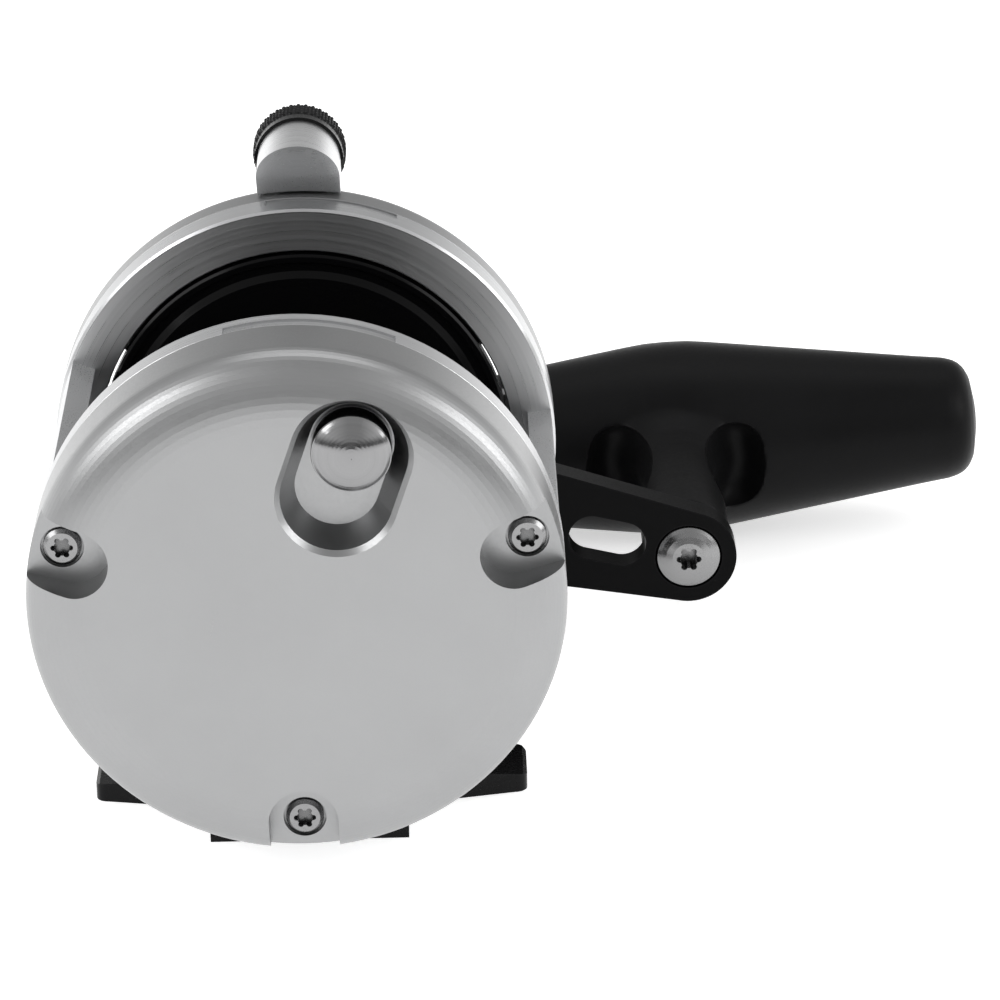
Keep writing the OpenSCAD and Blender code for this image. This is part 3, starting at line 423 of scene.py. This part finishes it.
# Diamond knurl: teeth round the ring, mesh steps round it and along it, depth and fade in metres.
KNURL_TEETH, KNURL_COUNT, KNURL_ROWS = 38, 456, 32
KNURL_DEPTH, KNURL_FADE = 0.62 * MM, 0.3 * MM
COLLAR_LENGTH = 2.2 * MM
COLLAR_RADII = (8.63, 9.25)


def knurled_ring():
    """Black diamond-knurled ring behind the lever's bright knob."""
    lo, hi = (Vector(v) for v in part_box("lever_knob_ring"))
    r, cx, cz = (hi.x - lo.x) / 2, (lo.x + hi.x) / 2, (lo.z + hi.z) / 2
    y0, y1 = lo.y + COLLAR_LENGTH, hi.y
    band0, band1 = y0 + 1.1 * MM, y1 - 0.9 * MM
    pitch = 2 * math.pi * r / KNURL_TEETH

    def wave(u):
        return 1 - abs(2 * (u - math.floor(u)) - 1)

    def knurl(y):
        v = (y - band0) / pitch
        fade = min(1.0, (y - band0) / KNURL_FADE + 0.001, (band1 - y) / KNURL_FADE + 0.001)

        def radius(t):
            u = KNURL_TEETH * t / (2 * math.pi)
            high = min(wave(u + v), wave(u - v)) * 1.5
            return r - 0.03 * MM - KNURL_DEPTH * (1 - min(1.0, high) * fade)
        return radius

    bore, seat = 1.7 * MM, 3.4 * MM
    low = r - 0.7 * MM
    rings = [(bore, y0), (low - 0.1 * MM, y0), (low + 0.1 * MM, y0 + 0.2 * MM),
             (low + 0.1 * MM, y0 + 0.8 * MM)]
    for i in range(KNURL_ROWS + 1):
        y = band0 + (band1 - band0) * i / KNURL_ROWS
        rings.append((knurl(y), y))
    rings += [(low, y1 - 0.45 * MM), (low - 0.15 * MM, y1 - 0.2 * MM), (low - 0.5 * MM, y1),
              (seat, y1), (seat, y1 - 2.2 * MM), (bore, y1 - 2.2 * MM)]
    verts, faces = revolve(rings, KNURL_COUNT)
    last = (len(rings) - 1) * KNURL_COUNT
    for k in range(KNURL_COUNT):
        n = (k + 1) % KNURL_COUNT
        faces.append((last + k, last + n, n, k))
    # Half collar over the top of the bright knob, ahead of the seam.
    first, steps = len(verts), 90
    inner, outer = (c * MM for c in COLLAR_RADII)
    back = y0 + 0.3 * MM
    section = [(inner, lo.y), (outer, lo.y), (outer, back), (inner, back)]
    for i in range(steps + 1):
        t = math.pi * i / steps
        verts += [(c * math.cos(t), y, c * math.sin(t)) for c, y in section]
    for i in range(steps):
        for k in range(4):
            a, b = first + 4 * i + k, first + 4 * i + (k + 1) % 4
            faces.append((a, a + 4, b + 4, b))
    faces.append(tuple(first + k for k in range(4)))
    faces.append(tuple(first + 4 * steps + k for k in (3, 2, 1, 0)))
    verts = [(x + cx, y, z + cz) for x, y, z in verts]
    ring = mesh_object("knurled_lever_ring", verts, faces, BLACK, math.radians(25))
    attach(ring, "lever")
    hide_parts("lever_knob_ring")


def apply_modifiers(o):
    """Replaces the object's mesh with the one its modifiers make."""
    bpy.context.view_layer.update()
    dep = bpy.context.evaluated_depsgraph_get()
    me = bpy.data.meshes.new_from_object(o.evaluated_get(dep))
    o.modifiers.clear()
    o.data = me


def lerp_table(table, v):
    """Straight-line value at v in a table of (position, value) pairs."""
    for (a, fa), (b, fb) in zip(table, table[1:]):
        if v <= b:
            return fa + (fb - fa) * min(1.0, max(0.0, (v - a) / (b - a)))
    return table[-1][1]


# Lean of the cross bar, its largest radius and half length in mm, and the mesh steps round it.
GRIP_TILT = math.radians(3.0)
BAR_RADIUS, BAR_HALF = 22.2, 70.3
GRIP_COUNT = 120
# Radius of the cross bar against distance from its middle, mm.
BAR_SHAPE = [(0, BAR_RADIUS), (5, 22.05), (10, 21.45), (16.5, 20.55), (30.1, 18.6), (43.7, 16.7),
             (57.3, 14.8), (63.6, 14.0), (66.0, 13.3), (67.8, 12.1), (69.1, 10.2), (69.9, 7.4),
             (BAR_HALF, 4.0)]
# Half width and half height of the neck against Y, mm from the near end.
NECK_WIDE = [(0, 9.3), (0.6, 9.75), (20, 9.7), (28, 9.9), (34, 10.6), (39, 12.4), (43, 15.4),
             (47, 20), (60, 21)]
NECK_HIGH = [(0, 9.3), (0.6, 9.75), (20, 9.7), (30, 9.8), (36, 10.0), (41, 10.8), (45, 12.6),
             (49, 15.2), (60, 19)]
# Hollow beside the neck, mm: inner wall, its slope with height, outer wall, middle and half sizes.
HOLLOW_INNER, HOLLOW_SLOPE, HOLLOW_OUTER = 7.7, 0.3, 22.3
HOLLOW_Y = 31.5
HOLLOW_SIZE = (19.0, 12.9)


def tube_faces(first, rows):
    """Sides and two end caps of a closed tube of GRIP_COUNT points a row."""
    faces = []
    for i in range(rows - 1):
        for k in range(GRIP_COUNT):
            a = first + i * GRIP_COUNT + k
            b = first + i * GRIP_COUNT + (k + 1) % GRIP_COUNT
            faces.append((a, b, b + GRIP_COUNT, a + GRIP_COUNT))
    for i in (0, rows - 1):
        faces.append(tuple(first + i * GRIP_COUNT + k for k in range(GRIP_COUNT)))
    return faces


def cross_grip():
    """T-shaped grip: tapered cross bar, flared neck and a finger hollow on each side of it."""
    lo, hi = (Vector(v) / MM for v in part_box("grip"))
    cap = box_mid("grip_cap") / MM
    cx, cz = cap.x, cap.z
    near = lo.y
    mid_y = hi.y - BAR_RADIUS
    verts, rows = [], 142
    for i in range(rows):
        x = -BAR_HALF + 2 * BAR_HALF * i / (rows - 1)
        r = lerp_table(BAR_SHAPE, abs(x))
        for k in range(GRIP_COUNT):
            t = 2 * math.pi * k / GRIP_COUNT
            verts.append((x, -r * math.cos(t), r * math.sin(t)))
    faces = tube_faces(0, rows)
    turn = Matrix.Rotation(-GRIP_TILT, 3, "Y")
    verts = [turn @ Vector(v) + Vector((0, mid_y, 0)) for v in verts]
    first, steps = len(verts), 60
    length = mid_y - near - 4
    for i in range(steps + 1):
        y = length * i / steps
        a, b = lerp_table(NECK_WIDE, y), lerp_table(NECK_HIGH, y)
        for k in range(GRIP_COUNT):
            t = 2 * math.pi * k / GRIP_COUNT
            verts.append(Vector((a * math.cos(t), near + y, b * math.sin(t))))
    faces += tube_faces(first, steps + 1)
    o = mesh_object("cross_grip", verts, faces)
    re = o.modifiers.new("union", "REMESH")
    re.mode = "VOXEL"
    re.voxel_size = 0.55
    apply_modifiers(o)
    carve_hollows(o.data, near)
    relax = o.modifiers.new("relax", "SMOOTH")
    relax.factor = 0.5
    relax.iterations = 2
    apply_modifiers(o)
    bore_out(o, cap.y, near)
    me = o.data
    me.transform(Matrix.Translation((cx * MM, 0, cz * MM)) @ Matrix.Scale(MM, 4))
    me.materials.clear()
    me.materials.append(GRIP)
    me.polygons.foreach_set("material_index", [0] * len(me.polygons))
    me.polygons.foreach_set("use_smooth", [True] * len(me.polygons))
    me.set_sharp_from_angle(angle=math.radians(40))
    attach(o, "grip")
    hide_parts("grip")


def carve_hollows(me, near):
    """Pushes the surface inside one rounded cutter a side onto the cutter's far wall."""
    n = len(me.vertices)
    flat = np.empty(n * 3)
    me.vertices.foreach_get("co", flat)
    pts = flat.reshape(n, 3)
    reach, high = HOLLOW_SIZE

    def level(p, side):
        z = np.abs(p[:, 2])
        inner = HOLLOW_INNER - HOLLOW_SLOPE * z
        mid, half = (inner + HOLLOW_OUTER) / 2, (HOLLOW_OUTER - inner) / 2
        return (((side * p[:, 0] - mid) / half) ** 2 + ((p[:, 1] - near - HOLLOW_Y) / reach) ** 2
                + (z / high) ** 4)

    for side in (-1, 1):
        centre = np.array((side * (HOLLOW_INNER + HOLLOW_OUTER) / 2, near + HOLLOW_Y, 0.0))
        inside = level(pts, side) < 1.0
        d = pts[inside] - centre
        low, top = np.ones(len(d)), np.full(len(d), 60.0)
        for _ in range(40):
            mid = (low + top) / 2
            under = level(centre + mid[:, None] * d, side) < 1.0
            low, top = np.where(under, mid, low), np.where(under, top, mid)
        pts[inside] = centre + low[:, None] * d
    me.vertices.foreach_set("co", pts.reshape(-1))
    me.update()


def bore_out(o, cap_y, near):
    """Cuts the stud bore, the near bearing seat and the far bearing and cap pocket."""
    seat = near + 5.7
    far_floor = (Vector(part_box("grip_bearing_outer")[0]) / MM).y
    rings = [(8.0, near - 2), (8.0, seat), (5.6, seat), (5.6, far_floor), (9.0, far_floor),
             (9.0, cap_y + 12)]
    count = 64
    verts, faces = revolve(rings, count)
    for i in (0, len(rings) - 1):
        faces.append(tuple(i * count + k for k in range(count)))
    cutter = mesh_object("grip_cutter", verts, faces)
    cut = o.modifiers.new("bore", "BOOLEAN")
    cut.operation = "DIFFERENCE"
    cut.solver = "EXACT"
    cut.object = cutter
    apply_modifiers(o)
    bpy.data.objects.remove(cutter)


knurled_ring()
cross_grip()
